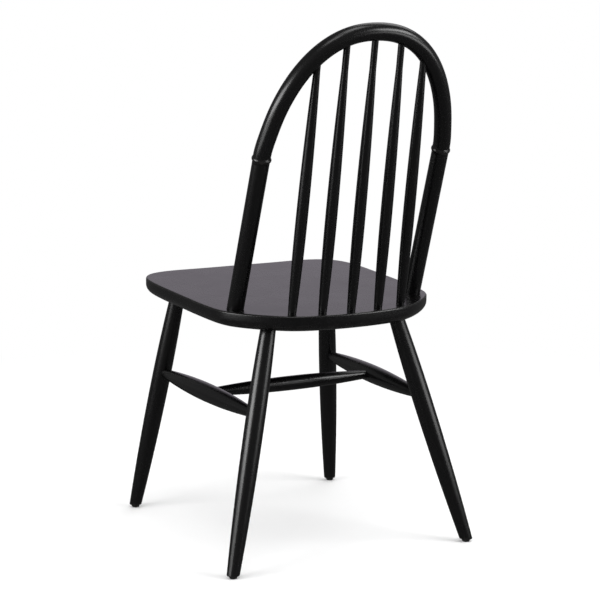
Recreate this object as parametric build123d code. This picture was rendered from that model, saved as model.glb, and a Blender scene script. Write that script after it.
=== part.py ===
from build123d import *
import os
from math import atan2, cos, pi, radians, sin, sqrt

# All sizes are in mm. The chair faces -Y, +X is the sitter's left and the floor is z = 0.
# While it is built, y = 0 lies midway between the front and rear feet.

# fits
glue_gap = 0.1            # radial room round every glued tenon and dowel
socket_extra = 1.0        # how much deeper a socket is than its tenon
nail_gap = 0.05           # room round a nail in its glide and pilot hole

# seat
seat_height = 450.0       # top face above the floor, midway between the feet
seat_slope = 1.84         # degrees, down towards the rear
seat_thickness = 28.6
seat_half_width = 217.0
seat_depth = 476.0
seat_front_y = -226.5
seat_top_round = 3.0
seat_bottom_round = 16.5
# half of the outline as drawn, front middle to rear middle; it is stretched to the width and depth
seat_sketch = [(0.0, 0.0), (90.0, 0.0), (157.0, 2.0), (190.0, 16.5), (208.0, 43.5), (216.5, 91.5),
               (217.0, 166.5), (215.5, 246.5), (212.0, 321.5), (202.0, 371.0), (179.0, 405.2),
               (146.7, 436.3), (109.3, 460.0), (59.5, 472.3), (0.0, 476.0)]
seat_rear_y = seat_front_y + seat_depth

# legs, placed at the underside of the seat from its edges
front_leg_inset = 61.0
front_leg_setback = 73.0
front_leg_splay = 56.6    # how far the foot stands outside the top of the leg
front_leg_rake = 88.5     # how far the foot stands in front of the top of the leg
rear_leg_inset = 90.8
rear_leg_setback = 86.2
rear_leg_splay = 109.0
rear_leg_rake = 78.6      # how far the foot stands behind the top of the leg
leg_foot_dia = 22.0
leg_swell_dia = 34.2
leg_seat_dia = 26.6
leg_swell_height = 255.0
leg_tenon_dia = 20.0
leg_tenon_depth = 17.0

# stretchers
front_stretcher_height = 272.0   # where a side stretcher meets the front leg
rear_stretcher_height = 269.0
side_end_dia = 17.5
side_swell_dia = 33.8
cross_end_dia = 16.0
cross_swell_dia = 27.0
side_past_axis = 5.0      # how far a tenon runs beyond the axis of the piece that holds it
cross_past_axis = 3.0
stretcher_neck = 2.5      # straight length left outside the socket

# foot glides and their nails
glide_height = 5.5
glide_top_dia = 17.0
glide_foot_dia = 13.0
glide_round = 0.8
nail_shank_dia = 2.5
nail_head_dia = 6.5
nail_head_thickness = 1.2
nail_head_lift = 2.0      # head above the floor, moulded into the glide
nail_length = 22.0
nail_point = 4.0

# back posts, placed from the edges of the seat
post_inset = 40.3
post_setback = 114.0
back_rake = 20.1          # degrees, posts and arch lean back from upright
post_length = 291.5       # along the post, seat to joint
post_dia = 29.8
post_tenon_dia = 20.0
post_tenon_depth = 17.0
bead_dia = 33.8
bead_height = 9.0
post_base_x = seat_half_width - post_inset
post_base_y = seat_rear_y - post_setback

# arch
arch_draw_in = 0.7        # half width of the curve, less than that of the posts
arch_dia = 30.4
arch_rise = 273.8         # from the centre of the curve to the crown
arch_drop = 55.3          # how far that centre lies below the joints
arch_power = 2.22
arch_points = 8           # points from each joint to the crown
dowel_dia = 10.0
dowel_length = 50.0
arch_half_width = post_base_x - arch_draw_in

# spindles, set out from the middle and from the rear edge of the seat
inner_base_x = 54.7
inner_top_x = 51.5
outer_base_x = 106.9
outer_top_x = 100.5
middle_setback = 20.1
inner_setback = 22.6
outer_setback = 35.3
spindle_base_dia = 14.5
spindle_swell_dia = 20.4
spindle_neck_dia = 11.5
spindle_swell_at = 163.0  # above the seat, along the spindle
spindle_neck_at = 425.0
spindle_seat_depth = 16.0
spindle_past_axis = 5.0   # how far a spindle runs beyond the axis of the arch

far = 1000.0              # larger than any piece

# frames of the tilted parts
slope = radians(seat_slope)
seat_top = Plane(origin=(0, 0, seat_height), x_dir=(1, 0, 0), z_dir=(0, sin(slope), cos(slope)))
seat_bottom = seat_top.offset(-seat_thickness)


def on_plane(plane, x, y):
    # point of a tilted plane above (x, y)
    o = plane.origin
    n = plane.z_dir
    return Vector(x, y, o.Z - (n.X * (x - o.X) + n.Y * (y - o.Y)) / n.Z)


def above(plane):
    return plane.location * Box(far, far, far, align=(Align.CENTER, Align.CENTER, Align.MIN))


def below(plane):
    return plane.location * Box(far, far, far, align=(Align.CENTER, Align.CENTER, Align.MAX))


def rod(start, end, dia):
    # plain cylinder between two points
    axis = end - start
    return Plane(origin=start, z_dir=axis).location * Cylinder(
        dia / 2, axis.length, align=(Align.CENTER, Align.CENTER, Align.MIN))


def swelled(t, t0, d0, t1, d1, t2, d2):
    # diameter at t of a turning that swells from d0 to d1 and falls to d2, along two parabolas
    if t < t1:
        return d1 - (d1 - d0) * ((t1 - t) / (t1 - t0)) ** 2
    return d1 - (d1 - d2) * ((t - t1) / (t2 - t1)) ** 2


def turned(start, axis, stations):
    # solid turned about an axis; stations are (distance along the axis, diameter)
    first, last = stations[0], stations[-1]
    outline = Polyline((first[1] / 2, first[0]), (0, first[0]), (0, last[0]), (last[1] / 2, last[0]))
    outline += Spline(*[(d / 2, t) for t, d in stations])
    solid = revolve(Plane.XZ * make_face(outline.edges()), Axis.Z)
    return Plane(origin=start, z_dir=axis).location * solid


def along(t0, t1, count):
    return [t0 + (t1 - t0) * i / (count - 1) for i in range(count)]


# seat blank
def seat_point(drawn, s):
    across = seat_half_width / max(x for x, y in seat_sketch)
    along_depth = seat_depth / max(y for x, y in seat_sketch)
    return (s * drawn[0] * across, seat_front_y + drawn[1] * along_depth)


left_half = [seat_point(drawn, 1) for drawn in seat_sketch]
right_half = [seat_point(drawn, -1) for drawn in seat_sketch[-2:0:-1]]
seat_outline = Spline(*left_half, *right_half, periodic=True)
seat = extrude(make_face(seat_outline), -seat_thickness)
seat = fillet(seat.edges().group_by(Axis.Z)[-1], seat_top_round)
seat = fillet(seat.edges().group_by(Axis.Z)[0], seat_bottom_round)
seat = seat_top.location * seat

nodes = {}
dowels = []
nails = []


# legs, glides and nails
class Leg:
    pass


def make_leg(seat_x, seat_y, foot_x, foot_y):
    leg = Leg()
    foot = Vector(foot_x, foot_y, 0)
    shoulder = on_plane(seat_bottom, seat_x, seat_y)
    leg.axis = (shoulder - foot).normalized()
    leg.foot, leg.shoulder = foot, shoulder
    length = (shoulder - foot).length
    spare = leg_seat_dia
    swell_at = leg_swell_height / leg.axis.Z
    stations = [(t, swelled(t, 0, leg_foot_dia, swell_at, leg_swell_dia, length, leg_seat_dia))
                for t in along(-glide_height, length + spare / 2, 13)]
    body = turned(foot, leg.axis, stations)
    leg.sole = Plane(origin=(0, 0, glide_height))
    body = body - above(seat_bottom) - below(leg.sole)
    inside = shoulder - leg.axis * spare
    tip = shoulder + leg.axis * leg_tenon_depth
    leg.solid = body + rod(inside, tip, leg_tenon_dia)
    leg.socket = rod(inside, tip + leg.axis * socket_extra, leg_tenon_dia + 2 * glue_gap)
    leg.heel = foot + leg.axis * (glide_height / leg.axis.Z)
    return leg


def at_height(leg, z):
    return leg.foot + leg.axis * (z / leg.axis.Z)


legs = {}
for side, s in (("left", 1), ("right", -1)):
    x, y = seat_half_width - front_leg_inset, seat_front_y + front_leg_setback
    legs["front_" + side] = make_leg(s * x, y, s * (x + front_leg_splay), y - front_leg_rake)
    x, y = seat_half_width - rear_leg_inset, seat_rear_y - rear_leg_setback
    legs["rear_" + side] = make_leg(s * x, y, s * (x + rear_leg_splay), y + rear_leg_rake)

for name, leg in legs.items():
    seat -= leg.socket
    c = leg.heel
    floor = Vector(c.X, c.Y, 0)
    glide = Plane(origin=floor).location * Cone(
        glide_foot_dia / 2, glide_top_dia / 2, glide_height, align=(Align.CENTER, Align.CENTER, Align.MIN))
    glide = fillet(glide.edges().group_by(Axis.Z)[0], glide_round)
    up = Vector(0, 0, 1)
    head_low = floor + up * nail_head_lift
    head_high = head_low + up * nail_head_thickness
    shank_top = head_low + up * (nail_length - nail_point)
    head = rod(head_low, head_high, nail_head_dia)
    shank = rod(head_low, shank_top, nail_shank_dia)
    point = Plane(origin=shank_top).location * Cone(
        nail_shank_dia / 2, 0, nail_point, align=(Align.CENTER, Align.CENTER, Align.MIN))
    nails.append(head + shank + point)
    room = rod(head_low - up * nail_gap, head_high + up * nail_gap, nail_head_dia + 2 * nail_gap)
    pilot = rod(head_low, shank_top + up * (nail_point + socket_extra), nail_shank_dia + 2 * nail_gap)
    nodes["foot_glide_" + name] = glide - room - pilot
    leg.solid -= pilot


# stretchers: both ends are straight tenons of the end diameter
def make_stretcher(a, b, end_dia, swell_dia, past, hold_a, hold_b):
    # a and b are on the axes of the holding pieces, whose radii there are hold_a and hold_b
    axis = (b - a).normalized()
    length = (b - a).length
    neck_a = hold_a + stretcher_neck
    neck_b = length - hold_b - stretcher_neck
    middle = (neck_a + neck_b) / 2
    stations = [(t, swelled(t, neck_a, end_dia, middle, swell_dia, neck_b, end_dia))
                for t in along(neck_a, neck_b, 11)]
    solid = turned(a, axis, stations)
    ends = [rod(a - axis * past, a + axis * neck_a, end_dia),
            rod(a + axis * neck_b, b + axis * past, end_dia)]
    hole = end_dia + 2 * glue_gap
    deep = past + socket_extra
    sockets = [rod(a - axis * deep, a + axis * neck_a, hole), rod(a + axis * neck_b, b + axis * deep, hole)]
    return solid + ends, sockets


def leg_radius(leg, z):
    length = (leg.shoulder - leg.foot).length
    t = z / leg.axis.Z
    top = leg_swell_height / leg.axis.Z
    return swelled(t, 0, leg_foot_dia, top, leg_swell_dia, length, leg_seat_dia) / 2


side_middles = {}
side_solids = {}
for side in ("left", "right"):
    front, rear = legs["front_" + side], legs["rear_" + side]
    a, b = at_height(front, front_stretcher_height), at_height(rear, rear_stretcher_height)
    hold_a, hold_b = leg_radius(front, front_stretcher_height), leg_radius(rear, rear_stretcher_height)
    solid, sockets = make_stretcher(a, b, side_end_dia, side_swell_dia, side_past_axis, hold_a, hold_b)
    front.solid -= sockets[0]
    rear.solid -= sockets[1]
    side_solids[side] = solid
    side_middles[side] = (a + b) / 2

cross, sockets = make_stretcher(side_middles["left"], side_middles["right"], cross_end_dia, cross_swell_dia,
                                cross_past_axis, side_swell_dia / 2, side_swell_dia / 2)
nodes["side_stretcher_left"] = side_solids["left"] - sockets[0]
nodes["side_stretcher_right"] = side_solids["right"] - sockets[1]
nodes["cross_stretcher"] = cross

for name, leg in legs.items():
    nodes["leg_" + name] = leg.solid

# back posts and arch lie in one raked plane, and their joints are square to the posts
back_up = Vector(0, sin(radians(back_rake)), cos(radians(back_rake)))
joint_x = arch_half_width * (1 - (arch_drop / arch_rise) ** arch_power) ** (1 / arch_power)
posts = {}
for side, s in (("left", 1), ("right", -1)):
    base = on_plane(seat_top, s * post_base_x, post_base_y)
    run = sqrt(post_length ** 2 - (post_base_x - joint_x) ** 2)
    joint = base + Vector(s * (joint_x - post_base_x), 0, 0) + back_up * run
    posts[side] = (base, joint, (joint - base).normalized())

arch_centre = Vector(0, posts["left"][1].Y, posts["left"][1].Z) - back_up * arch_drop


def arch_point(angle):
    # superellipse in the raked plane; the angle runs from the left side to the right
    c, s = cos(angle), sin(angle)
    r = (abs(c / arch_half_width) ** arch_power + abs(s / arch_rise) ** arch_power) ** (-1 / arch_power)
    return arch_centre + Vector(r * c, 0, 0) + back_up * (r * s)


first = atan2(arch_drop, joint_x)
angles = along(first, pi - first, 2 * arch_points - 1)
arch_path = Spline(*[arch_point(t) for t in angles], tangents=[posts["left"][2], -posts["right"][2]],
                   tangent_scalars=[1, 1])
arch_start = Plane(origin=posts["left"][1], z_dir=posts["left"][2])
arch = sweep(arch_start.location * Circle(arch_dia / 2), arch_path)

for side, (base, joint, axis) in posts.items():
    inside = post_dia
    body = rod(base - axis * inside, joint, post_dia) - below(seat_top)
    bead_low = joint - axis * bead_height
    bulge = (bead_dia - post_dia) / 2
    bead = turned(bead_low, axis, [(bead_height * i / 8, post_dia + 2 * bulge * sin(pi * i / 8))
                                   for i in range(9)])
    tip = base - axis * post_tenon_depth
    post = body + bead + rod(tip, base + axis * inside, post_tenon_dia)
    seat -= rod(tip - axis * socket_extra, base + axis * inside, post_tenon_dia + 2 * glue_gap)
    dowel_low, dowel_high = joint - axis * (dowel_length / 2), joint + axis * (dowel_length / 2)
    dowels.append(rod(dowel_low, dowel_high, dowel_dia))
    hole = rod(dowel_low - axis * socket_extra, dowel_high + axis * socket_extra, dowel_dia + 2 * glue_gap)
    nodes["back_post_" + side] = post - hole
    arch -= hole


# spindles
def arch_at(x):
    # point of the arch curve at a given x
    return arch_centre + Vector(x, 0, 0) + back_up * (
        arch_rise * (1 - abs(x / arch_half_width) ** arch_power) ** (1 / arch_power))


def make_spindle(base_x, base_y, top_x):
    base = on_plane(seat_top, base_x, base_y)
    top = arch_at(top_x)
    axis = (top - base).normalized()
    length = (top - base).length
    bottom = base - axis * spindle_seat_depth
    end = length + spindle_past_axis
    stations = [(t, swelled(t, 0, spindle_base_dia, spindle_swell_at, spindle_swell_dia,
                            spindle_neck_at, spindle_neck_dia))
                for t in along(0, spindle_neck_at, 13)]
    body = turned(base, axis, stations)
    body += rod(bottom, base, spindle_base_dia)
    body += rod(base + axis * spindle_neck_at, base + axis * end, spindle_neck_dia)
    low = rod(bottom - axis * socket_extra, base + axis * spindle_base_dia, spindle_base_dia + 2 * glue_gap)
    high = rod(base + axis * (length - arch_dia), base + axis * (end + socket_extra),
               spindle_neck_dia + 2 * glue_gap)
    return body, low, high


spindle_places = [(outer_base_x, outer_setback, outer_top_x), (inner_base_x, inner_setback, inner_top_x),
                  (0, middle_setback, 0), (-inner_base_x, inner_setback, -inner_top_x),
                  (-outer_base_x, outer_setback, -outer_top_x)]
for i, (base_x, setback, top_x) in enumerate(spindle_places):
    body, low, high = make_spindle(base_x, seat_rear_y - setback, top_x)
    nodes["spindle_" + str(i + 1)] = body
    seat -= low
    arch -= high

nodes["seat"] = seat
nodes["hoop_arch"] = arch
nodes["arch_dowels"] = Compound(children=[Part(d.wrapped) for d in dowels])
nodes["glide_nails"] = Compound(children=[Part(n.wrapped) for n in nails])

# move the origin to the middle of the overall box
boxes = [shape.bounding_box() for shape in nodes.values()]
middle_y = (min(b.min.Y for b in boxes) + max(b.max.Y for b in boxes)) / 2
os.makedirs("parts", exist_ok=True)
for name, shape in nodes.items():
    export_step(shape.moved(Location((0, -middle_y, 0))), "parts/" + name + ".step")
print("middle_y", round(middle_y, 3))
print("size", [round(v, 2) for v in (max(b.max.X for b in boxes) - min(b.min.X for b in boxes),
                                     max(b.max.Y for b in boxes) - min(b.min.Y for b in boxes),
                                     max(b.max.Z for b in boxes) - min(b.min.Z for b in boxes))])
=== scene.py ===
import math

import bpy
import numpy as np
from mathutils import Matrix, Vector


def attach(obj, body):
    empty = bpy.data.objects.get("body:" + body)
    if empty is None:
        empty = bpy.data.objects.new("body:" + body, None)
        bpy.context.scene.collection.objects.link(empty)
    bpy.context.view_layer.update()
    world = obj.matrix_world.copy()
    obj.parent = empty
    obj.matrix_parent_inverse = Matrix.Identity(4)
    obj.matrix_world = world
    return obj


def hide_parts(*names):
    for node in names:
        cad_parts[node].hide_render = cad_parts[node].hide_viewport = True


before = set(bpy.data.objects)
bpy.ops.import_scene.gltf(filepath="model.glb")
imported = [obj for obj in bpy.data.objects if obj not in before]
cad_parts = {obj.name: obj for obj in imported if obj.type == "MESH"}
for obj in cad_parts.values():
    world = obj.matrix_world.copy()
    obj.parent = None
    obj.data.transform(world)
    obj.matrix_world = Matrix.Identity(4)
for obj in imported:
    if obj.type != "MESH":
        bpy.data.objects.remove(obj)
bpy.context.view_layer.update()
print("frame loaded:", len(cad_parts), "nodes")

# Sizes below are in mm with y = 0 midway between the feet; skinPiece moves them to the frame, in metres.
mm = 0.001
frameShift = np.array([0.0, -36.856, 0.0])
roundSteps = 72           # points round a turning
sharpAngle = math.radians(38)


def unit(v):
    # vectors scaled to a length of one
    v = np.asarray(v, float)
    return v / np.linalg.norm(v, axis=-1, keepdims=True)


def spokes(axis, count=roundSteps):
    # directions square to an axis, evenly turned about it: cos(angle) e1 + sin(angle) e2, with e1 x e2 = axis
    e1 = unit(np.cross([0.0, 1.0, 0.0], axis))
    e2 = np.cross(axis, e1)
    angle = np.linspace(0, 2 * math.pi, count, endpoint=False)[:, None]
    return np.cos(angle) * e1 + np.sin(angle) * e2


def swelled(t, t0, d0, t1, d1, t2, d2):
    # diameter of a turning at t: one parabola rises from d0 at t0 to d1 at t1, another falls to d2 at t2
    low = d1 - (d1 - d0) * ((t1 - t) / (t1 - t0)) ** 2
    high = d1 - (d1 - d2) * ((t - t1) / (t2 - t1)) ** 2
    return np.where(t < t1, low, high)


def planeCut(base, axis, spoke, radius, point, normal):
    # distance along the axis at which each line of a turning, one radius off its axis, meets a plane
    return (np.dot(point - base, normal) - radius * (spoke @ normal)) / np.dot(axis, normal)


def easedRows(start, stop, count):
    # rows that crowd towards both ends: start + (stop - start) (1 - cos) / 2
    return start + (stop - start) * (1 - np.cos(np.linspace(0, math.pi, count))) / 2


def splineThrough(points, ends=None, count=400):
    # cubic through points with the chord length as parameter; the slopes are solved so that the
    # second derivative has no jumps, round the loop or, with two end slopes given, between them
    p = np.asarray(points, float)
    loop = ends is None
    if loop:
        p = np.vstack([p, p[:1]])
    h = np.linalg.norm(np.diff(p, axis=0), axis=1)
    rise = np.diff(p, axis=0) / h[:, None]
    n = len(p) - (1 if loop else 0)
    a = np.zeros((n, n))
    b = np.zeros((n, p.shape[1]))
    row = np.arange(n) if loop else np.arange(1, n - 1)
    before, after = row - 1, row % len(h)
    a[row, before] += 1 / h[before]
    a[row, row] += 2 / h[before] + 2 / h[after]
    a[row, (row + 1) % n] += 1 / h[after]
    b[row] = 3 * rise[before] / h[before, None] + 3 * rise[after] / h[after, None]
    if not loop:
        a[0, 0] = a[-1, -1] = 1
        b[0], b[-1] = ends
    slope = np.linalg.solve(a, b)
    if loop:
        slope = np.vstack([slope, slope[:1]])
    knot = np.concatenate([[0], np.cumsum(h)])
    at = np.linspace(0, knot[-1], count, endpoint=not loop)
    k = np.clip(np.searchsorted(knot, at, side="right") - 1, 0, len(h) - 1)
    u, w = ((at - knot[k]) / h[k])[:, None], h[k][:, None]
    place = ((2 * u ** 3 - 3 * u ** 2 + 1) * p[k] + (u ** 3 - 2 * u ** 2 + u) * w * slope[k]
             + (3 * u ** 2 - 2 * u ** 3) * p[k + 1] + (u ** 3 - u ** 2) * w * slope[k + 1])
    speed = ((6 * u ** 2 - 6 * u) * (p[k] - p[k + 1]) / w + (3 * u ** 2 - 4 * u + 1) * slope[k]
             + (3 * u ** 2 - 2 * u) * slope[k + 1])
    return place, unit(speed)


def gridMesh(name, rings):
    # skin of quads over a grid of points, rows along and columns round; every row closes on itself and both
    # end rows close on their mean point
    rows, cols = rings.shape[:2]
    points = np.vstack([rings.reshape(-1, 3), rings[0].mean(0), rings[-1].mean(0)])
    i, j = np.meshgrid(np.arange(rows - 1), np.arange(cols), indexing="ij")
    k = (j + 1) % cols
    quads = np.stack([i * cols + j, i * cols + k, (i + 1) * cols + k, (i + 1) * cols + j], -1)
    rim = np.arange(cols)
    after = (rim + 1) % cols
    first = np.stack([np.full(cols, rows * cols), after, rim], -1)
    last = np.stack([np.full(cols, rows * cols + 1), (rows - 1) * cols + rim, (rows - 1) * cols + after], -1)
    corners = np.concatenate([quads.ravel(), first.ravel(), last.ravel()])
    sizes = np.concatenate([np.full(quads.shape[0] * cols, 4), np.full(2 * cols, 3)])
    mesh = bpy.data.meshes.new(name)
    mesh.vertices.add(len(points))
    mesh.vertices.foreach_set("co", points.ravel())
    mesh.loops.add(len(corners))
    mesh.loops.foreach_set("vertex_index", corners.astype(np.int32))
    mesh.polygons.add(len(sizes))
    mesh.polygons.foreach_set("loop_start", np.concatenate([[0], np.cumsum(sizes)[:-1]]).astype(np.int32))
    mesh.update(calc_edges=True)
    mesh.polygons.foreach_set("use_smooth", np.ones(len(sizes), bool))
    mesh.set_sharp_from_angle(angle=sharpAngle)
    return mesh


def skinPiece(name, node, material, rings, edge=None):
    # finished piece over a grid of points in mm; its map holds metres round and along the piece
    mesh = gridMesh(name, (rings + frameShift) * mm)
    rows, cols = rings.shape[:2]
    i, j = np.meshgrid(np.arange(rows - 1), np.arange(cols), indexing="ij")
    rim = np.arange(cols)

    # map: u runs round the widest row, v along the mean line of the rows
    girth = np.linalg.norm(np.roll(rings, -1, 1) - rings, axis=2).sum(1).max()
    along = np.concatenate([[0], np.cumsum(np.linalg.norm(np.diff(rings, axis=0), axis=2).mean(1))])
    u, v = girth / cols, along
    quadMap = np.stack([np.stack([j, j + 1, j + 1, j], -1) * u,
                        np.stack([v[i], v[i], v[i + 1], v[i + 1]], -1)], -1)
    capMap = np.stack([np.stack([rim + 0.5, rim + 1, rim], -1) * u, np.zeros((cols, 3))], -1)
    endMap = np.stack([np.stack([rim + 0.5, rim, rim + 1], -1) * u, np.full((cols, 3), v[-1])], -1)
    grainMap = mesh.uv_layers.new(name="grainMap")
    values = np.concatenate([quadMap.reshape(-1, 2), capMap.reshape(-1, 2), endMap.reshape(-1, 2)])
    grainMap.data.foreach_set("uv", (values * mm).astype(np.float32).ravel())
    edge = np.zeros(rows) if edge is None else np.asarray(edge, float)
    edgeMark = mesh.attributes.new("edgeMark", "FLOAT", "POINT")
    marks = np.concatenate([np.repeat(edge, cols), edge[[0, -1]]])
    edgeMark.data.foreach_set("value", marks.astype(np.float32))

    mesh.materials.append(material)
    piece = bpy.data.objects.new(name, mesh)
    bpy.context.scene.collection.objects.link(piece)
    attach(piece, "root")
    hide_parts(node)
    return piece


def addNode(tree, kind, inputs=None, **settings):
    # shader node with its settings, and its inputs set to values or linked to sockets
    node = tree.nodes.new(kind)
    for key, value in settings.items():
        setattr(node, key, value)
    for key, value in (inputs or {}).items():
        if isinstance(value, bpy.types.NodeSocket):
            tree.links.new(value, node.inputs[key])
        else:
            node.inputs[key].default_value = value
    return node


def newGroup(name, inputs, outputs):
    # empty shader group with named sockets
    group = bpy.data.node_groups.new(name, "ShaderNodeTree")
    for label, kind, value in inputs:
        socket = group.interface.new_socket(label, in_out="INPUT", socket_type=kind)
        if value is not None:
            socket.default_value = value
    for label, kind in outputs:
        group.interface.new_socket(label, in_out="OUTPUT", socket_type=kind)
    return group, group.nodes.new("NodeGroupInput").outputs, group.nodes.new("NodeGroupOutput").inputs


def useGroup(tree, group, **inputs):
    return addNode(tree, "ShaderNodeGroup", inputs, node_tree=group)


def spread(tree, value, low, high, newLow, newHigh):
    # value mapped straight from one range to another, held at the ends
    node = addNode(tree, "ShaderNodeMapRange", {"Value": value})
    for key, number in (("From Min", low), ("From Max", high), ("To Min", newLow), ("To Max", newHigh)):
        node.inputs[key].default_value = number
    return node.outputs["Result"]


# Wood grain that shows through a thin finish: fine noise for the pores, broad noise for the tone, both drawn
# out along y of the vector.
grainLook = {
    "fineness": 900.0, "stretch": 30.0, "poreDetail": 3.0, "poreRoughness": 0.55, "poreRange": (0.3, 0.55),
    "poreShare": 0.7, "broadScale": 0.11, "broadDetail": 2.0, "broadRoughness": 0.5, "broadBend": 0.6,
    "toneRange": (0.35, 0.65),
}


def makeGrainGroup():
    group, given, out = newGroup(
        "woodGrain",
        [("Vector", "NodeSocketVector", None), ("Fineness", "NodeSocketFloat", grainLook["fineness"]),
         ("Stretch", "NodeSocketFloat", grainLook["stretch"])],
        [("Height", "NodeSocketFloat"), ("Tone", "NodeSocketFloat")])
    fine, vector = given["Fineness"], given["Vector"]
    along = addNode(group, "ShaderNodeMath", {0: fine, 1: given["Stretch"]}, operation="DIVIDE").outputs[0]
    scale = addNode(group, "ShaderNodeCombineXYZ", {"X": fine, "Y": along, "Z": fine}).outputs[0]
    drawn = addNode(group, "ShaderNodeVectorMath", {0: vector, 1: scale}, operation="MULTIPLY").outputs[0]
    pores = addNode(group, "ShaderNodeTexNoise", {
        "Vector": drawn, "Scale": 1.0, "Detail": grainLook["poreDetail"],
        "Roughness": grainLook["poreRoughness"]}).outputs["Fac"]
    broad = addNode(group, "ShaderNodeTexNoise", {
        "Vector": drawn, "Scale": grainLook["broadScale"], "Detail": grainLook["broadDetail"],
        "Roughness": grainLook["broadRoughness"], "Distortion": grainLook["broadBend"]}).outputs["Fac"]
    height = addNode(group, "ShaderNodeMath", {
        0: spread(group, pores, *grainLook["poreRange"], 0, 1), 1: grainLook["poreShare"], 2: broad},
        operation="MULTIPLY_ADD")
    group.links.new(height.outputs[0], out["Height"])
    group.links.new(spread(group, broad, *grainLook["toneRange"], 0, 1), out["Tone"])
    return group


# Sprayed lacquer: soft ripples a few mm wide, and patches that shine a little more or less.
sprayLook = {"ripple": 320.0, "rippleDetail": 1.0, "patch": 14.0, "patchDetail": 4.0, "patchRoughness": 0.6,
             "patchBend": 0.3, "patchRange": (0.3, 0.7)}


def makeSprayGroup():
    group, given, out = newGroup(
        "sprayedCoat",
        [("Vector", "NodeSocketVector", None), ("Ripple", "NodeSocketFloat", sprayLook["ripple"]),
         ("Patch", "NodeSocketFloat", sprayLook["patch"])],
        [("Height", "NodeSocketFloat"), ("Sheen", "NodeSocketFloat")])
    ripple = addNode(group, "ShaderNodeTexNoise", {
        "Vector": given["Vector"], "Scale": given["Ripple"], "Detail": sprayLook["rippleDetail"]})
    patch = addNode(group, "ShaderNodeTexNoise", {
        "Vector": given["Vector"], "Scale": given["Patch"], "Detail": sprayLook["patchDetail"],
        "Roughness": sprayLook["patchRoughness"], "Distortion": sprayLook["patchBend"]})
    group.links.new(ripple.outputs["Fac"], out["Height"])
    group.links.new(spread(group, patch.outputs["Fac"], *sprayLook["patchRange"], 0, 1), out["Sheen"])
    return group


# Light rubbing where an edge stands out: the edge mark broken up by noise.
rubLook = {"amount": 0.3, "scale": 60.0, "detail": 5.0, "roughness": 0.7, "range": (0.4, 0.7)}


def makeRubGroup():
    group, given, out = newGroup(
        "edgeRub",
        [("Vector", "NodeSocketVector", None), ("Edge", "NodeSocketFloat", 0.0),
         ("Amount", "NodeSocketFloat", rubLook["amount"])],
        [("Mask", "NodeSocketFloat")])
    noise = addNode(group, "ShaderNodeTexNoise", {
        "Vector": given["Vector"], "Scale": rubLook["scale"], "Detail": rubLook["detail"],
        "Roughness": rubLook["roughness"]})
    broken = spread(group, noise.outputs["Fac"], *rubLook["range"], 0, 1)
    marked = addNode(group, "ShaderNodeMath", {0: broken, 1: given["Edge"]}, operation="MULTIPLY").outputs[0]
    mask = addNode(group, "ShaderNodeMath", {0: marked, 1: given["Amount"]},
                   operation="MULTIPLY", use_clamp=True)
    group.links.new(mask.outputs[0], out["Mask"])
    return group


woodGrain, sprayedCoat, edgeRub = makeGrainGroup(), makeSprayGroup(), makeRubGroup()


def newMaterial(name):
    material = bpy.data.materials.new(name)
    material.use_nodes = True
    return material, material.node_tree, material.node_tree.nodes["Principled BSDF"]


def blended(tree, mask, low, high):
    # colour that goes from low to high with a mask; either may be another colour socket
    node = tree.nodes.new("ShaderNodeMix")
    node.data_type = "RGBA"
    tree.links.new(mask, node.inputs["Factor"])
    for key, value in (("A", low), ("B", high)):
        socket = [s for s in node.inputs if s.name == key and s.type == "RGBA"][0]
        if isinstance(value, bpy.types.NodeSocket):
            tree.links.new(value, socket)
        else:
            socket.default_value = (*value, 1)
    return [s for s in node.outputs if s.type == "RGBA"][0]


# Black satin lacquer over wood. The sanded seat board shows broader and flatter grain than the turnings.
lacquer = {
    "dark": (0.0012, 0.0011, 0.0013), "light": (0.0021, 0.0019, 0.0022), "rubbed": (0.03, 0.027, 0.026),
    "specular": 0.5, "roughness": (0.26, 0.29), "grainDepth": 0.000003, "rippleDepth": 0.000003,
    "turned": {"mapped": True, "fineness": 900.0, "stretch": 30.0, "relief": 1.0},
    "board": {"mapped": False, "fineness": 420.0, "stretch": 22.0, "relief": 0.35},
}


def makeLacquer(name, mapped, fineness, stretch, relief):
    # mapped turnings read their own map for the grain, the board reads its place
    material, tree, shader = newMaterial(name)
    place = addNode(tree, "ShaderNodeTexCoord").outputs["Object"]
    grainPlace = addNode(tree, "ShaderNodeUVMap", uv_map="grainMap").outputs["UV"] if mapped else place
    grain = useGroup(tree, woodGrain, Vector=grainPlace, Fineness=fineness, Stretch=stretch).outputs
    coat = useGroup(tree, sprayedCoat, Vector=place).outputs
    mark = addNode(tree, "ShaderNodeAttribute", attribute_name="edgeMark").outputs["Fac"]
    rub = useGroup(tree, edgeRub, Vector=place, Edge=mark).outputs["Mask"]
    wood = blended(tree, grain["Tone"], lacquer["dark"], lacquer["light"])
    tree.links.new(blended(tree, rub, wood, lacquer["rubbed"]), shader.inputs["Base Color"])
    tree.links.new(spread(tree, coat["Sheen"], 0, 1, *lacquer["roughness"]), shader.inputs["Roughness"])
    ripple = addNode(tree, "ShaderNodeBump", {
        "Height": coat["Height"], "Distance": relief * lacquer["rippleDepth"]})
    pores = addNode(tree, "ShaderNodeBump", {
        "Height": grain["Height"], "Distance": relief * lacquer["grainDepth"],
        "Normal": ripple.outputs["Normal"]})
    tree.links.new(pores.outputs["Normal"], shader.inputs["Normal"])
    shader.inputs["Specular IOR Level"].default_value = lacquer["specular"]
    return material


nylon = {
    "dark": (0.006, 0.006, 0.006), "light": (0.014, 0.014, 0.014), "rubbed": (0.05, 0.05, 0.05), "rub": 0.6,
    "specular": 0.2, "roughness": (0.45, 0.65), "ripple": 2600.0, "patch": 240.0, "depth": 0.00005,
}


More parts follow.
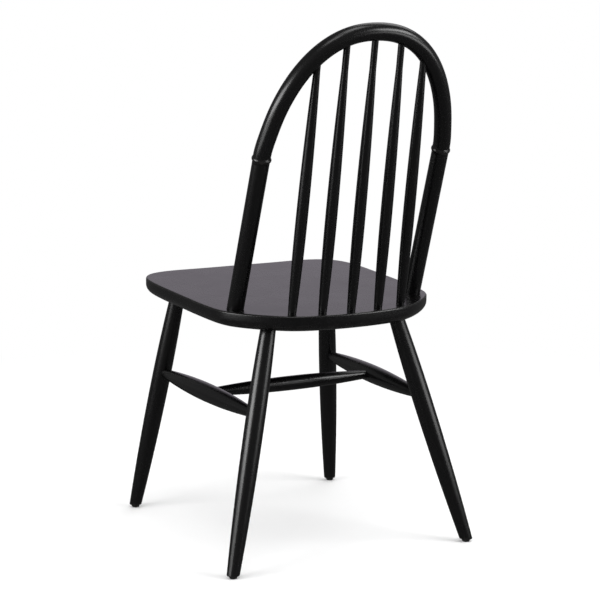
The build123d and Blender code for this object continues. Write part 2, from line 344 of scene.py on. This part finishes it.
def makeNylon():
    # moulded black nylon with a fine spark-eroded texture, scuffed where it slides
    material, tree, shader = newMaterial("mouldedNylon")
    place = addNode(tree, "ShaderNodeTexCoord").outputs["Object"]
    coat = useGroup(tree, sprayedCoat, Vector=place, Ripple=nylon["ripple"], Patch=nylon["patch"]).outputs
    mark = addNode(tree, "ShaderNodeAttribute", attribute_name="edgeMark").outputs["Fac"]
    rub = useGroup(tree, edgeRub, Vector=place, Edge=mark, Amount=nylon["rub"]).outputs["Mask"]
    body = blended(tree, coat["Sheen"], nylon["dark"], nylon["light"])
    tree.links.new(blended(tree, rub, body, nylon["rubbed"]), shader.inputs["Base Color"])
    tree.links.new(spread(tree, coat["Sheen"], 0, 1, *nylon["roughness"]), shader.inputs["Roughness"])
    bump = addNode(tree, "ShaderNodeBump", {"Height": coat["Height"], "Distance": nylon["depth"]})
    tree.links.new(bump.outputs["Normal"], shader.inputs["Normal"])
    shader.inputs["Specular IOR Level"].default_value = nylon["specular"]
    return material


# Bare beech of the hidden dowels and drawn steel of the nails. The tilt, in degrees about x, lays the grain
# or the drawing marks along them.
beech = {"dark": (0.42, 0.25, 0.13), "light": (0.62, 0.42, 0.25), "roughness": (0.55, 0.7), "depth": 0.0001,
         "metallic": 0.0, "tilt": -69.9, "fineness": 1500.0, "stretch": 18.0}
steel = {"dark": (0.42, 0.42, 0.43), "light": (0.6, 0.6, 0.61), "roughness": (0.25, 0.45), "depth": 0.00003,
         "metallic": 1.0, "tilt": -90.0, "fineness": 4000.0, "stretch": 40.0}


def makeHidden(name, look):
    material, tree, shader = newMaterial(name)
    place = addNode(tree, "ShaderNodeTexCoord").outputs["Object"]
    tilt = (math.radians(look["tilt"]), 0, 0)
    turned = addNode(tree, "ShaderNodeMapping", {"Vector": place, "Rotation": tilt}).outputs[0]
    grain = useGroup(tree, woodGrain, Vector=turned, Fineness=look["fineness"],
                     Stretch=look["stretch"]).outputs
    tree.links.new(blended(tree, grain["Tone"], look["dark"], look["light"]), shader.inputs["Base Color"])
    tree.links.new(spread(tree, grain["Tone"], 0, 1, *look["roughness"]), shader.inputs["Roughness"])
    bump = addNode(tree, "ShaderNodeBump", {"Height": grain["Height"], "Distance": look["depth"]})
    tree.links.new(bump.outputs["Normal"], shader.inputs["Normal"])
    shader.inputs["Metallic"].default_value = look["metallic"]
    return material


turnedLacquer = makeLacquer("turnedLacquer", **lacquer["turned"])
seatLacquer = makeLacquer("seatLacquer", **lacquer["board"])
mouldedNylon = makeNylon()
for hidden, name, look in (("arch_dowels", "bareBeech", beech), ("glide_nails", "drawnSteel", steel)):
    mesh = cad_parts[hidden].data
    mesh.materials.clear()
    mesh.materials.append(makeHidden(name, look))
print("finishes made")

# Seat: an edge profile carried round the outline, then drawn in to the middle above and below.
seat = {
    "height": 450.0, "slope": 1.84, "thickness": 28.6, "halfWidth": 217.0, "depth": 476.0, "frontY": -226.5,
    "topRound": 3.0, "bottomRound": 16.5, "outlineSteps": 420, "roundRows": 13,
    # rows on the flat faces, by their share of the way from the middle to the edge
    "flatRows": 24, "flatShare": (0.04, 0.985),
    "underRub": 0.5,
    # half of the outline, front middle to rear middle
    "sketch": [(0.0, 0.0), (90.0, 0.0), (157.0, 2.0), (190.0, 16.5), (208.0, 43.5), (216.5, 91.5),
               (217.0, 166.5), (215.5, 246.5), (212.0, 321.5), (202.0, 371.0), (179.0, 405.2), (146.7, 436.3),
               (109.3, 460.0), (59.5, 472.3), (0.0, 476.0)],
}
slope = math.radians(seat["slope"])
seatNormal = np.array([0.0, math.sin(slope), math.cos(slope)])
seatForward = np.array([0.0, math.cos(slope), -math.sin(slope)])
seatOrigin = np.array([0.0, 0.0, seat["height"]])
seatUnder = seatOrigin - seatNormal * seat["thickness"]
seatRearY = seat["frontY"] + seat["depth"]


def onSeat(x, y, origin=seatOrigin):
    # point of the seat's top or underside above (x, y)
    return np.array([x, y, origin[2] - seatNormal[1] * (y - origin[1]) / seatNormal[2]])


def makeSeat():
    half = np.array(seat["sketch"])
    left = np.stack([half[:, 0], seat["frontY"] + half[:, 1]], 1)
    right = left[-2:0:-1] * [-1, 1]
    outline, run = splineThrough(np.vstack([left, right]), count=seat["outlineSteps"])
    inward = np.stack([-run[:, 1], run[:, 0]], 1)
    top, bottom = seat["topRound"], seat["bottomRound"]
    turn = np.linspace(0, math.pi / 2, seat["roundRows"])
    # profile: how far in from the outline, and how far down from the top
    inset = np.concatenate([top * (1 - np.sin(turn)), bottom * (1 - np.cos(turn))])
    drop = np.concatenate([top * (1 - np.cos(turn)), seat["thickness"] - bottom * (1 - np.sin(turn))])
    edge = np.concatenate([np.sin(2 * turn), seat["underRub"] * np.sin(2 * turn)])
    wall = outline[None] + inward[None] * inset[:, None, None]
    middle = np.array([0.0, seat["frontY"] + seat["depth"] / 2])
    share = np.linspace(*seat["flatShare"], seat["flatRows"])[:, None, None]
    above = middle + share * (wall[0] - middle)
    below = middle + share[::-1] * (wall[-1] - middle)
    plan = np.concatenate([above, wall, below])
    depth = np.concatenate([np.zeros(len(share)), drop, np.full(len(share), seat["thickness"])])
    edge = np.concatenate([np.zeros(len(share)), edge, np.zeros(len(share))])
    rings = (seatOrigin + plan[..., :1] * [1.0, 0, 0] + plan[..., 1:] * seatForward
             - depth[:, None, None] * seatNormal)
    return skinPiece("seatBoard", "seat", seatLacquer, rings[::-1], edge[::-1])


makeSeat()
print("seat made")

# Legs: swelled turnings, cut level at the foot and along the underside of the seat, with a tenon on top.
leg = {
    "footDia": 22.0, "swellDia": 34.2, "seatDia": 26.6, "swellHeight": 255.0, "footRound": 0.9,
    "tenonDia": 20.0, "tenonDepth": 17.0, "rows": 110, "cutPasses": 4,
    "roundRows": (0, 0.04, 0.14, 0.3, 0.5, 0.74, 1.0),      # rows on the foot's rounding, as shares of it
    # top of the leg from the seat's edges, then how far the foot stands out and away
    "front": {"inset": 61.0, "setback": 73.0, "splay": 56.6, "rake": 88.5},
    "rear": {"inset": 90.8, "setback": 86.2, "splay": 109.0, "rake": 78.6},
}
glide = {"height": 5.5, "topDia": 17.0, "footDia": 13.0, "round": 0.8, "rows": 9, "soleRings": (0.3, 0.7),
         "sideRub": 0.5}


def legLine(end, side):
    # foot on the floor, shoulder under the seat
    place = leg[end]
    x = seat["halfWidth"] - place["inset"]
    front = end == "front"
    y = seat["frontY"] + place["setback"] if front else seatRearY - place["setback"]
    footY = y - place["rake"] if front else y + place["rake"]
    return np.array([side * (x + place["splay"]), footY, 0.0]), onSeat(side * x, y, seatUnder)


def legDia(t, axis, length):
    swellAt = leg["swellHeight"] / axis[2]
    return swelled(t, 0, leg["footDia"], swellAt, leg["swellDia"], length, leg["seatDia"])


def makeLeg(end, side):
    foot, shoulder = legLine(end, side)
    axis, length = unit(shoulder - foot), np.linalg.norm(shoulder - foot)
    spoke = spokes(axis)
    sole, up = np.array([0.0, 0.0, glide["height"]]), np.array([0.0, 0.0, 1.0])
    low, high = np.full(roundSteps, glide["height"]), np.full(roundSteps, length)
    for again in range(leg["cutPasses"]):      # the diameter at a cut depends on where the cut is
        low = planeCut(foot, axis, spoke, legDia(low, axis, length) / 2, sole, up)
        high = planeCut(foot, axis, spoke, legDia(high, axis, length) / 2, shoulder, seatNormal)
    soft = leg["footRound"] * np.array(leg["roundRows"])[:, None]
    share = np.linspace(0, 1, leg["rows"])[1:, None]
    t = np.concatenate([low + soft, low + leg["footRound"] + share * (high - low - leg["footRound"])])
    lift = np.clip((t - low) / leg["footRound"], 0, 1)
    radius = legDia(t, axis, length) / 2 - leg["footRound"] * (1 - np.sqrt(1 - (1 - lift) ** 2))
    tenon = leg["tenonDia"] / 2
    tenonLow = planeCut(foot, axis, spoke, tenon, shoulder, seatNormal)
    t = np.vstack([t, tenonLow, np.full(roundSteps, length + leg["tenonDepth"])])
    radius = np.vstack([radius, np.full((2, roundSteps), tenon)])
    rings = foot + axis * t[..., None] + spoke * radius[..., None]
    edge = np.zeros(len(t))
    edge[:len(soft)] = 1.0
    name = end + "_" + ("left" if side > 0 else "right")
    return skinPiece("turnedLeg_" + name, "leg_" + name, turnedLacquer, rings, edge)


# Glides: vertical turned buttons under the feet, wider where they meet the wood.
def makeGlide(end, side):
    foot, shoulder = legLine(end, side)
    axis = unit(shoulder - foot)
    heel = foot + axis * glide["height"] / axis[2]
    low, high, soft, rows = glide["footDia"] / 2, glide["topDia"] / 2, glide["round"], glide["rows"]
    turn = np.linspace(0, math.pi / 2, rows)
    sole = low * np.array(glide["soleRings"])
    radius = np.concatenate([sole, low - soft * (1 - np.sin(turn)), np.linspace(low, high, rows)[1:]])
    height = np.concatenate([0 * sole, soft * (1 - np.cos(turn)),
                             np.linspace(soft, glide["height"], rows)[1:]])
    rings = (np.array([heel[0], heel[1], 0.0]) + height[:, None, None] * [0, 0, 1.0]
             + radius[:, None, None] * spokes(np.array([0, 0, 1.0])))
    edge = np.concatenate([np.ones(len(sole)), 1 - turn / math.pi,
                           np.linspace(glide["sideRub"], 0, rows)[1:]])
    name = end + "_" + ("left" if side > 0 else "right")
    return skinPiece("nylonGlide_" + name, "foot_glide_" + name, mouldedNylon, rings, edge)


for end in ("front", "rear"):
    for side in (1, -1):
        makeLeg(end, side)
        makeGlide(end, side)
print("legs and glides made")

# Stretchers: swelled turnings with straight tenons at both ends.
stretcher = {
    "frontHeight": 272.0, "rearHeight": 269.0, "sideEnd": 17.5, "sideSwell": 33.8, "sidePast": 5.0,
    "crossEnd": 16.0, "crossSwell": 27.0, "crossPast": 3.0, "neck": 2.5, "rows": 90,
}


def makeStretcher(name, node, a, b, endDia, swellDia, past, holdA, holdB):
    # a and b lie on the axes of the pieces that hold it, whose radii there are holdA and holdB
    axis, length = unit(b - a), np.linalg.norm(b - a)
    neckA, neckB = holdA + stretcher["neck"], length - holdB - stretcher["neck"]
    t = np.concatenate([[-past, 0.5 * (neckA - past)], easedRows(neckA, neckB, stretcher["rows"]),
                        [0.5 * (neckB + length + past), length + past]])
    dia = swelled(t, neckA, endDia, (neckA + neckB) / 2, swellDia, neckB, endDia)
    dia = np.where((t < neckA) | (t > neckB), endDia, dia)
    rings = a + axis * t[:, None, None] + spokes(axis) * dia[:, None, None] / 2
    return skinPiece(name, node, turnedLacquer, rings)


def legAt(end, side, height):
    # point on a leg's axis at a height, and its radius there
    foot, shoulder = legLine(end, side)
    axis, length = unit(shoulder - foot), np.linalg.norm(shoulder - foot)
    return foot + axis * height / axis[2], float(legDia(height / axis[2], axis, length)) / 2


sideMiddle = {}
for side, word in ((1, "left"), (-1, "right")):
    a, holdA = legAt("front", side, stretcher["frontHeight"])
    b, holdB = legAt("rear", side, stretcher["rearHeight"])
    makeStretcher("sideStretcher_" + word, "side_stretcher_" + word, a, b, stretcher["sideEnd"],
                  stretcher["sideSwell"], stretcher["sidePast"], holdA, holdB)
    sideMiddle[word] = (a + b) / 2
hold = stretcher["sideSwell"] / 2
makeStretcher("crossRail", "cross_stretcher", sideMiddle["left"], sideMiddle["right"], stretcher["crossEnd"],
              stretcher["crossSwell"], stretcher["crossPast"], hold, hold)
print("stretchers made")

# Back: two round posts, each with a bead at its top, carry a bent arch; all lie in one raked plane.
post = {"inset": 40.3, "setback": 114.0, "rake": 20.1, "length": 291.5, "dia": 29.8, "beadDia": 33.8,
        "beadHeight": 9.0, "tenonDia": 20.0, "tenonDepth": 17.0, "rows": 80, "beadRows": 25}
arch = {"drawIn": 0.7, "dia": 30.4, "rise": 273.8, "drop": 55.3, "power": 2.22, "points": 8, "steps": 300}
rake = math.radians(post["rake"])
backUp = np.array([0.0, math.sin(rake), math.cos(rake)])
postBase = np.array([seat["halfWidth"] - post["inset"], seatRearY - post["setback"]])
archHalf = postBase[0] - arch["drawIn"]
jointX = archHalf * (1 - (arch["drop"] / arch["rise"]) ** arch["power"]) ** (1 / arch["power"])


def postLine(side):
    # foot of the post on the seat, and its joint with the arch
    base = onSeat(side * postBase[0], postBase[1])
    run = math.sqrt(post["length"] ** 2 - (postBase[0] - jointX) ** 2)
    return base, base + np.array([side * (jointX - postBase[0]), 0, 0]) + backUp * run


def makePost(side):
    base, joint = postLine(side)
    axis, length = unit(joint - base), np.linalg.norm(joint - base)
    spoke = spokes(axis)
    body, tenon = post["dia"] / 2, post["tenonDia"] / 2
    low = planeCut(base, axis, spoke, body, base, seatNormal)
    tenonLow = planeCut(base, axis, spoke, tenon, base, seatNormal)
    beadLow = length - post["beadHeight"]
    plain = low + np.linspace(0, 1, post["rows"])[:, None] * (beadLow - low)
    # bead: half a sine wave standing on the post
    beadTurn = np.linspace(0, math.pi, post["beadRows"])[1:, None]
    bulge = (post["beadDia"] - post["dia"]) / 2 * np.sin(beadTurn)
    t = np.vstack([np.full((1, roundSteps), -post["tenonDepth"]), tenonLow[None], plain,
                   np.repeat(beadLow + post["beadHeight"] * beadTurn / math.pi, roundSteps, 1)])
    radius = np.concatenate([[tenon, tenon], np.full(len(plain), body), body + bulge[:, 0]])
    rings = base + axis * t[..., None] + spoke * radius[:, None, None]
    edge = np.concatenate([np.zeros(len(plain) + 2), np.sin(beadTurn[:, 0])])
    word = "left" if side > 0 else "right"
    return skinPiece("roundPost_" + word, "back_post_" + word, turnedLacquer, rings, edge)


for side in (1, -1):
    makePost(side)

joints = {side: postLine(side) for side in (1, -1)}
archCentre = np.array([0.0, *joints[1][1][1:]]) - backUp * arch["drop"]


def archPoint(angle):
    # superellipse in the raked plane: |x / a| ^ p + |z / b| ^ p = 1, by the angle from the left side
    c, s, power = np.cos(angle)[:, None], np.sin(angle)[:, None], arch["power"]
    r = (np.abs(c / archHalf) ** power + np.abs(s / arch["rise"]) ** power) ** (-1 / power)
    return archCentre + r * c * [1.0, 0, 0] + r * s * backUp


def makeArch():
    first = math.atan2(arch["drop"], jointX)
    drawn = archPoint(np.linspace(first, math.pi - first, 2 * arch["points"] - 1))
    ends = [unit(joints[1][1] - joints[1][0]), -unit(joints[-1][1] - joints[-1][0])]
    path, run = splineThrough(drawn, ends, arch["steps"])
    # round section carried along the path: one side faces the rear, the other is square to it and to the run
    rear = np.array([0.0, math.cos(rake), -math.sin(rake)])
    out = np.cross(rear, run)
    angle = np.linspace(0, 2 * math.pi, roundSteps, endpoint=False)[None, :, None]
    spoke = np.cos(angle) * out[:, None] + np.sin(angle) * np.cross(run, out)[:, None]
    rings = path[:, None] + spoke * arch["dia"] / 2
    return skinPiece("bentArch", "hoop_arch", turnedLacquer, rings)


makeArch()
print("posts and arch made")

# Spindles: swelled low down, thin and straight where they enter the arch. The first is on the sitter's left.
spindle = {"baseDia": 14.5, "swellDia": 20.4, "neckDia": 11.5, "swellAt": 163.0, "neckAt": 425.0,
           "seatDepth": 16.0, "past": 5.0, "rows": 120, "neckRows": 12,
           # place on the seat: across, in from the rear edge; then across at the arch
           "places": [(106.9, 35.3, 100.5), (54.7, 22.6, 51.5), (0.0, 20.1, 0.0),
                      (-54.7, 22.6, -51.5), (-106.9, 35.3, -100.5)]}


def makeSpindle(number, baseX, setback, topX):
    base = onSeat(baseX, seatRearY - setback)
    high = arch["rise"] * (1 - abs(topX / archHalf) ** arch["power"]) ** (1 / arch["power"])
    top = archCentre + np.array([topX, 0, 0]) + backUp * high
    axis, length = unit(top - base), np.linalg.norm(top - base)
    neck = spindle["neckAt"]
    t = np.concatenate([[-spindle["seatDepth"]], np.linspace(0, neck, spindle["rows"]),
                        np.linspace(neck, length + spindle["past"], spindle["neckRows"])[1:]])
    dia = swelled(np.clip(t, 0, neck), 0, spindle["baseDia"], spindle["swellAt"], spindle["swellDia"],
                  neck, spindle["neckDia"])
    rings = base + axis * t[:, None, None] + spokes(axis) * dia[:, None, None] / 2
    return skinPiece("turnedSpindle_" + str(number), "spindle_" + str(number), turnedLacquer, rings)


for number, place in enumerate(spindle["places"]):
    makeSpindle(number + 1, *place)
print("spindles made")

# Studio: a pale floor that fades to the white around it, white to the eye and soft to the chair.
studio = {"white": 1.0, "ambient": 0.75, "floorSize": 40.0, "floorColor": (0.95, 0.95, 0.95, 1),
          "fadeFrom": 0.6, "fadeTo": 1.7}
pureWhite = (1, 1, 1, 1)


def layFloor():
    # level square round the origin, part of the set
    corners = np.array([(-1, -1, 0), (1, -1, 0), (1, 1, 0), (-1, 1, 0)]) * studio["floorSize"] / 2
    mesh = bpy.data.meshes.new("paleFloor")
    mesh.from_pydata(corners.tolist(), [], [(0, 1, 2, 3)])
    floor = bpy.data.objects.new("paleFloor", mesh)
    bpy.context.scene.collection.objects.link(floor)
    return floor


def larger(tree, a, b):
    return addNode(tree, "ShaderNodeMath", {0: a, 1: b}, operation="MAXIMUM").outputs[0]


def seenDirectly(tree):
    # one for rays from the camera, mirror rays and rays through glass, zero for light on the chair
    path = addNode(tree, "ShaderNodeLightPath").outputs
    toEye = larger(tree, path["Is Camera Ray"], path["Is Glossy Ray"])
    return larger(tree, toEye, path["Is Transmission Ray"])


def makeStudio():
    world = bpy.data.worlds.new("paleStudio")
    world.use_nodes = True
    tree = world.node_tree
    shade = tree.nodes["Background"]
    shade.inputs["Color"].default_value = pureWhite
    level = spread(tree, seenDirectly(tree), 0, 1, studio["ambient"], studio["white"])
    tree.links.new(level, shade.inputs["Strength"])
    bpy.context.scene.world = world

    floor = layFloor()
    material, tree, shader = newMaterial("paleFloor")
    tree.nodes.remove(shader)
    matt = addNode(tree, "ShaderNodeBsdfDiffuse", {"Color": studio["floorColor"]}).outputs[0]
    plain = addNode(tree, "ShaderNodeEmission", {"Color": pureWhite, "Strength": studio["white"]}).outputs[0]
    place = addNode(tree, "ShaderNodeTexCoord").outputs["Object"]
    away = addNode(tree, "ShaderNodeVectorMath", {0: place}, operation="LENGTH").outputs["Value"]
    fade = spread(tree, away, studio["fadeFrom"], studio["fadeTo"], 0, 1)
    seen = addNode(tree, "ShaderNodeMath", {0: fade, 1: seenDirectly(tree)}, operation="MULTIPLY").outputs[0]
    mix = addNode(tree, "ShaderNodeMixShader", {"Fac": seen, 1: matt, 2: plain})
    tree.links.new(mix.outputs[0], tree.nodes["Material Output"].inputs["Surface"])
    floor.data.materials.append(material)


# Tent: grey cloth round the set, a half ball of circles on a level floor. It shines evenly and only mirror
# rays meet it, so the lacquer shows a dim studio, with a paler cloth behind the chair.
tent = {
    "radius": 7.0, "lift": 0.0004, "turnSteps": 48, "floorRings": 6, "wallRings": 24, "hub": 0.1,
    "dark": (0.15, 0.15, 0.15), "pale": (0.58, 0.535, 0.605), "floor": (0.1, 0.1, 0.1),
    "floorEdge": (0.01, 0.02),      # heights between which the floor's grey goes over into the wall's
    "paleWay": (-0.4527, -0.8736, 0.16), "paleRange": (0.9, 0.98),      # cosine of the angle to paleWay
}


def makeTent():
    # rings by the angle that they climb: radius times cosine out and radius times sine up
    turn = np.linspace(0, 2 * math.pi, tent["turnSteps"], endpoint=False)
    wall = np.linspace(0, math.pi / 2, tent["wallRings"])[1:-1]
    reach = np.concatenate([np.linspace(tent["hub"], 1, tent["floorRings"]), np.cos(wall)]) * tent["radius"]
    height = np.concatenate([np.zeros(tent["floorRings"]), np.sin(wall)]) * tent["radius"] + tent["lift"]
    rings = np.stack([reach[:, None] * np.cos(turn), reach[:, None] * np.sin(turn),
                      np.repeat(height[:, None], len(turn), 1)], -1)
    mesh = gridMesh("greyTent", rings)

    material, tree, shader = newMaterial("tentCloth")
    tree.nodes.remove(shader)
    place = addNode(tree, "ShaderNodeTexCoord").outputs["Object"]
    way = addNode(tree, "ShaderNodeVectorMath", {0: place}, operation="NORMALIZE").outputs[0]
    toPale = addNode(tree, "ShaderNodeVectorMath", {0: way, 1: unit(tent["paleWay"])},
                     operation="DOT_PRODUCT")
    paleness = spread(tree, toPale.outputs["Value"], *tent["paleRange"], 0, 1)
    wallColor = blended(tree, paleness, tent["dark"], tent["pale"])
    up = addNode(tree, "ShaderNodeSeparateXYZ", {0: place}).outputs["Z"]
    shown = blended(tree, spread(tree, up, *tent["floorEdge"], 0, 1), tent["floor"], wallColor)
    glow = addNode(tree, "ShaderNodeEmission", {"Color": shown})
    tree.links.new(glow.outputs[0], tree.nodes["Material Output"].inputs["Surface"])
    mesh.materials.append(material)

    cloth = bpy.data.objects.new("greyTent", mesh)
    bpy.context.scene.collection.objects.link(cloth)
    cloth.visible_camera = cloth.visible_diffuse = cloth.visible_transmission = False
    cloth.visible_shadow = cloth.visible_volume_scatter = False


makeStudio()
makeTent()

# Soft boxes: a high and a low one on each side, two above the back and one high in front. Size across and up,
# place and aim in metres.
lamps = [
    {"name": "leftBox", "size": (2.2, 0.9), "place": (3.1, 0.17, 1.35), "aim": (0.1, 0.15, 0.6), "watts": 57},
    {"name": "lowBox", "size": (2.2, 0.45), "place": (3.1, 0.17, 0.3), "aim": (0.1, 0.15, 0.6), "watts": 10},
    {"name": "rightBox", "size": (1.9, 0.8), "place": (-2.05, 2.03, 2), "aim": (0, 0.15, 0.4), "watts": 40},
    {"name": "footBox", "size": (1.9, 0.6), "place": (-2.05, 2.03, 0.65), "aim": (0, 0.15, 0.4), "watts": 14},
    {"name": "topBox", "size": (0.9, 0.9), "place": (-0.16, 0.62, 2.9), "aim": (0, 0.24, 0.9), "watts": 8.5},
    {"name": "rearBox", "size": (0.9, 0.7), "place": (0.8, 1.3, 2.9), "aim": (0, 0.24, 0.9), "watts": 6.5},
    {"name": "frontBox", "size": (1.7, 1.2), "place": (-1.41, -0.85, 2.5), "aim": (0, 0.24, 0.9),
     "watts": 11},
]


def aimed(name, data, place, aim):
    # lamp or camera at a place, turned to a point
    holder = bpy.data.objects.new(name, data)
    holder.location = place
    holder.rotation_euler = (Vector(aim) - Vector(place)).to_track_quat("-Z", "Y").to_euler()
    bpy.context.scene.collection.objects.link(holder)
    return holder


def makeLamp(name, size, place, aim, watts):
    lamp = bpy.data.lights.new(name, "AREA")
    lamp.shape = "RECTANGLE"
    lamp.size, lamp.size_y = size
    lamp.energy = watts
    aimed(name, lamp, place, aim).visible_camera = False


for lamp in lamps:
    makeLamp(**lamp)
print("studio lit")

# Camera, from behind and to the sitter's left
view = {"place": (1.64023, 3.16579, 1.07663), "aim": (-0.01547, -0.02883, 0.42495), "lens": 120.0,
        "sensor": 36.0}
eye = bpy.data.cameras.new("photoView")
eye.lens, eye.sensor_width = view["lens"], view["sensor"]
bpy.context.scene.camera = aimed("photoView", eye, view["place"], view["aim"])
bpy.context.scene.view_settings.view_transform = "Standard"

bpy.context.view_layer.update()
